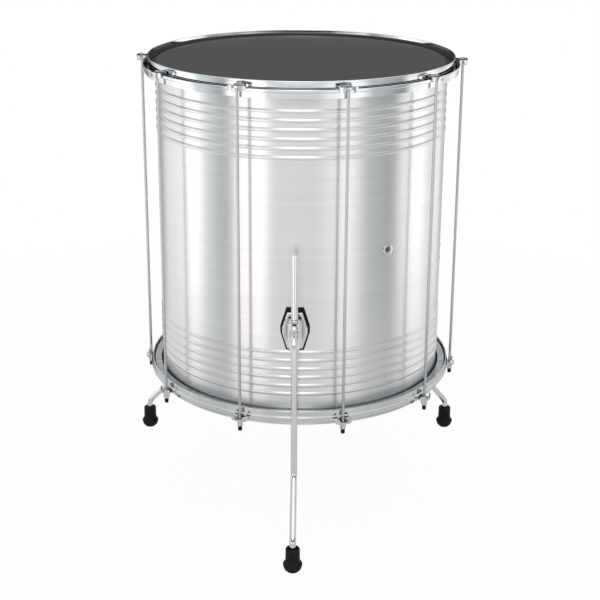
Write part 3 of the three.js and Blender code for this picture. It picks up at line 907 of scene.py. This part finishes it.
gasket, bracket, wing = settled(gasket_mesh()), settled(bracket_mesh()), settled(wing_mesh())
leg, foot = settled(leg_mesh()), settled(foot_mesh())
for side, azimuth in LEG_AZIMUTHS.items():
    azimuth += SHELL_TURN
    piece(f"bracket_gasket_{side}", gasket, place(azimuth), GASKET, "drum",
          [f"gasket_{side}"], "rubber")
    piece(f"bracket_casting_{side}", bracket, place(azimuth), CAST, "drum",
          [f"leg_bracket_{side}"], "chrome")
    piece(f"screw_{side}", wing, place(azimuth, z=SCREW), CAST, f"wing_screw_{side}_body",
          [f"wing_screw_{side}"], "chrome")
    own = place(azimuth, 0, -LEG_CIRCLE, 0, LEG_TURNS[side])
    on_foot = own @ Matrix.Translation((0, -LEG_THROW * MM, 0))
    piece(f"leg_bar_{side}", leg, own, BAR, f"leg_{side}_body", [f"leg_{side}"], "chrome")
    piece(f"rubber_foot_{side}", *upright(foot, on_foot), RUBBER, f"leg_{side}_body",
          [f"foot_{side}"], "rubber")


# Floor, world, lamps and camera

# Level of the even light on matt surfaces
EVEN = 0.66
# Floor: its size and where it fades out, in metres, its grey level, the share of it that the
# camera sees through and the share that glows to metal
FLOOR_RADIUS = 7.0
FLOOR_FADE = (0.6, 1.9)
FLOOR_GREY = 0.62
FLOOR_CLEAR = 0.97
FLOOR_GLOW = 0.42


def add_floor():
    """Pale floor that fades out to the white world.

    The camera sees through all but a trace of it, and that trace carries the shadow. Metal sees
    it a little paler than it is.
    """
    bpy.ops.mesh.primitive_circle_add(
        vertices=128, radius=FLOOR_RADIUS, fill_type="NGON", location=(AXIS_X, AXIS_Y, -0.0004)
    )
    floor = bpy.context.object
    floor.name = "studio_floor"
    mat = bpy.data.materials.new("pale_floor")
    mat.use_nodes = True
    tree = mat.node_tree
    tree.nodes.clear()
    new, join = tree.nodes.new, tree.links.new
    coords, path = new("ShaderNodeTexCoord"), new("ShaderNodeLightPath")
    length = new("ShaderNodeVectorMath")
    length.operation = "LENGTH"
    fade = new("ShaderNodeMapRange")
    fade.interpolation_type = "SMOOTHSTEP"
    fade.inputs["From Min"].default_value, fade.inputs["From Max"].default_value = FLOOR_FADE
    diffuse, white = new("ShaderNodeBsdfDiffuse"), new("ShaderNodeEmission")
    diffuse.inputs["Color"].default_value = (FLOOR_GREY, FLOOR_GREY, FLOOR_GREY, 1)
    clear = new("ShaderNodeBsdfTransparent")
    to_camera, to_metal = new("ShaderNodeMath"), new("ShaderNodeMath")
    for share, ray, level in (
        (to_camera, "Is Camera Ray", FLOOR_CLEAR), (to_metal, "Is Glossy Ray", FLOOR_GLOW),
    ):
        share.operation = "MULTIPLY"
        share.inputs[1].default_value = level
        join(path.outputs[ray], share.inputs[0])
    join(coords.outputs["Object"], length.inputs[0])
    join(length.outputs["Value"], fade.inputs["Value"])
    shader = diffuse.outputs["BSDF"]
    for share, other in (
        (to_metal.outputs["Value"], white.outputs["Emission"]),
        (to_camera.outputs["Value"], clear.outputs["BSDF"]),
        (fade.outputs["Result"], clear.outputs["BSDF"]),
    ):
        mix = new("ShaderNodeMixShader")
        join(share, mix.inputs["Fac"])
        join(shader, mix.inputs[1])
        join(other, mix.inputs[2])
        shader = mix.outputs["Shader"]
    join(shader, new("ShaderNodeOutputMaterial").inputs["Surface"])
    floor.data.materials.append(mat)


# What metal reflects: (azimuth from the camera's side, level, tint)
ROOM = [
    (-180, 0.25, 0), (-165, 0.25, 1), (-150, 0.30, 1), (-128, 1.00, 0), (-106, 1.16, 0),
    (-89, 1.78, 0), (-74, 0.84, 1), (-56, 0.48, 1), (-46, 1.70, -1), (-27, 1.98, -1),
    (-20, 0.90, 0), (-8, 0.84, 0), (4, 0.80, 0), (14, 0.82, 0), (25, 1.12, 0), (41, 1.42, 0),
    (58, 0.60, 1), (80, 0.40, 1), (90, 1.15, 0), (110, 1.56, 0), (128, 0.88, 0), (146, 1.15, 0),
    (166, 0.42, 1), (180, 0.25, 0),
]
# Share of those walls, and the level of what is above them, by the sine of the elevation:
# dark up to a ceiling panel, which is brighter and a little lower in front
WALL_SHARE = [(0.0, 1.0), (0.09, 1.0), (0.13, 0.0), (1.0, 0.0)]
ROOF_LEVEL = [(0.0, 0.008), (0.27, 0.008), (0.37, 0.95), (0.74, 0.95), (0.82, 1.10), (1.0, 1.30)]
ROOF_IN_FRONT = [(0.0, 0.008), (0.26, 0.008), (0.35, 2.40), (0.80, 2.40), (1.0, 1.40)]
# Where the front is, by the share of the turn from the back
FRONT_SHARE = [(0.0, 0.0), (0.44, 0.0), (0.47, 1.0), (0.53, 1.0), (0.56, 0.0), (1.0, 0.0)]
# Colour straight below, and the sines between which it gives way to the walls
GROUND_COLOR = (0.22, 0.22, 0.23, 1)
GROUND = (-0.92, -0.76)


def tinted(level, tint):
    """Grey level with a trace of blue-green (1) or of pink (-1)."""
    cool, warm = max(tint, 0), max(-tint, 0)
    return (level * (1 - 0.05 * cool), level * (1 - 0.07 * warm), level * (1 - 0.05 * warm))


def add_world():
    """White to the camera, an even pale light to matt surfaces and a studio's panels to metal."""
    world = bpy.data.worlds.new("studio")
    bpy.context.scene.world = world
    world.use_nodes = True
    tree = world.node_tree
    tree.nodes.clear()
    new, join = tree.nodes.new, tree.links.new

    def ramp(place_on_it, stops, interpolation="LINEAR"):
        made = new("ShaderNodeValToRGB")
        fill_ramp(made, stops, interpolation)
        join(place_on_it, made.inputs["Fac"])
        return made.outputs["Color"]

    def blend(share, first, second):
        made = new("ShaderNodeMix")
        made.data_type = "RGBA"
        join(share, made.inputs["Factor"])
        for source, socket in ((first, made.inputs["A"]), (second, made.inputs["B"])):
            if isinstance(source, tuple):
                socket.default_value = source
            else:
                join(source, socket)
        return made.outputs["Result"]

    def math_node(operation, first, second):
        made = new("ShaderNodeMath")
        made.operation = operation
        join(first, made.inputs[0])
        if isinstance(second, float):
            made.inputs[1].default_value = second
        else:
            join(second, made.inputs[1])
        return made.outputs["Value"]

    path, coords, split = (
        new("ShaderNodeLightPath"), new("ShaderNodeTexCoord"), new("ShaderNodeSeparateXYZ")
    )
    join(coords.outputs["Generated"], split.inputs["Vector"])
    towards = math_node("MULTIPLY", split.outputs["Y"], -1.0)
    turn, height, ground = (new("ShaderNodeMapRange") for _ in range(3))
    turn.inputs["From Min"].default_value = -math.pi
    turn.inputs["From Max"].default_value = math.pi
    join(math_node("ARCTAN2", split.outputs["X"], towards), turn.inputs["Value"])
    ground.interpolation_type = "SMOOTHSTEP"
    ground.inputs["From Min"].default_value, ground.inputs["From Max"].default_value = GROUND
    for node in (height, ground):
        join(split.outputs["Z"], node.inputs["Value"])
    turned, raised = turn.outputs["Result"], height.outputs["Result"]
    walls = ramp(turned, [((a + 180) / 360, tinted(level, tint)) for a, level, tint in ROOM], "EASE")
    roof = blend(ramp(turned, FRONT_SHARE), ramp(raised, ROOF_LEVEL), ramp(raised, ROOF_IN_FRONT))
    above = blend(ramp(raised, WALL_SHARE), roof, walls)
    white, even, room = (new("ShaderNodeBackground") for _ in range(3))
    white.inputs["Color"].default_value = (1, 1, 1, 1)
    even.inputs["Color"].default_value = (EVEN, EVEN, EVEN, 1)
    join(blend(ground.outputs["Result"], GROUND_COLOR, above), room.inputs["Color"])
    to_metal = math_node(
        "MAXIMUM", path.outputs["Is Glossy Ray"], path.outputs["Is Transmission Ray"]
    )
    shader = even.outputs["Background"]
    for share, other in ((to_metal, room), (path.outputs["Is Camera Ray"], white)):
        mix = new("ShaderNodeMixShader")
        join(share, mix.inputs["Fac"])
        join(shader, mix.inputs[1])
        join(other.outputs["Background"], mix.inputs[2])
        shader = mix.outputs["Shader"]
    join(shader, new("ShaderNodeOutputWorld").inputs["Surface"])


LAMP_AIM = 0.45


def add_lamp(name, azimuth, distance, height, width, tall, power):
    """Soft panel at an azimuth counted from the camera's side, positive towards +X. Metres."""
    lamp = bpy.data.lights.new(name, "AREA")
    lamp.shape, lamp.size, lamp.size_y, lamp.energy = "RECTANGLE", width, tall, power
    ob = bpy.data.objects.new(name, lamp)
    bpy.context.scene.collection.objects.link(ob)
    a = math.radians(azimuth)
    ob.location = (AXIS_X + distance * math.sin(a), AXIS_Y - distance * math.cos(a), height)
    to = Vector((AXIS_X, AXIS_Y, LAMP_AIM)) - ob.location
    ob.rotation_euler = to.to_track_quat("-Z", "Y").to_euler()
    ob.visible_camera = False
    ob.visible_glossy = False


# The camera as fitted: focal length in pixels, millimetres from the axis and above the rim, degrees
FRAME, SENSOR = 600, 36
FOCAL, DISTANCE, ABOVE = 1273.57, 2438.09, 407.6
PITCH, YAW, ROLL, SIDE = 17.864, -0.016, 0.333, 2.859
SHIFT = -0.1


def add_camera():
    pitch, yaw, roll, side = (math.radians(angle) for angle in (PITCH, YAW, ROLL, SIDE))
    level = math.cos(pitch)
    forward = Vector((math.sin(yaw) * level, math.cos(yaw) * level, -math.sin(pitch)))
    flat = Vector((math.cos(yaw), -math.sin(yaw), 0))
    rise = flat.cross(forward)
    right = flat * math.cos(roll) + rise * math.sin(roll)
    up = rise * math.cos(roll) - flat * math.sin(roll)
    basis = Matrix((right, up, -forward)).transposed().to_4x4()
    around = Matrix.Translation((AXIS_X, AXIS_Y, hoop_high.z)) @ Matrix.Rotation(side, 4, "Z")
    data = bpy.data.cameras.new("camera")
    data.sensor_width = SENSOR
    data.lens = FOCAL / FRAME * SENSOR
    data.shift_y = SHIFT
    data.clip_start, data.clip_end = 0.1, 50
    camera = bpy.data.objects.new("camera", data)
    bpy.context.scene.collection.objects.link(camera)
    camera.matrix_world = around @ Matrix.Translation((0, -DISTANCE * MM, ABOVE * MM)) @ basis
    bpy.context.scene.camera = camera


add_floor()
add_world()
add_lamp("panel_left", azimuth=-70, distance=2.8, height=1.6, width=1.5, tall=2.2, power=9)
add_lamp("panel_right", azimuth=75, distance=2.8, height=1.6, width=1.5, tall=2.2, power=7)
add_lamp("panel_top", azimuth=0, distance=0.2, height=3.2, width=2.6, tall=2.6, power=10)
add_camera()
bpy.context.scene.view_settings.view_transform = "Standard"
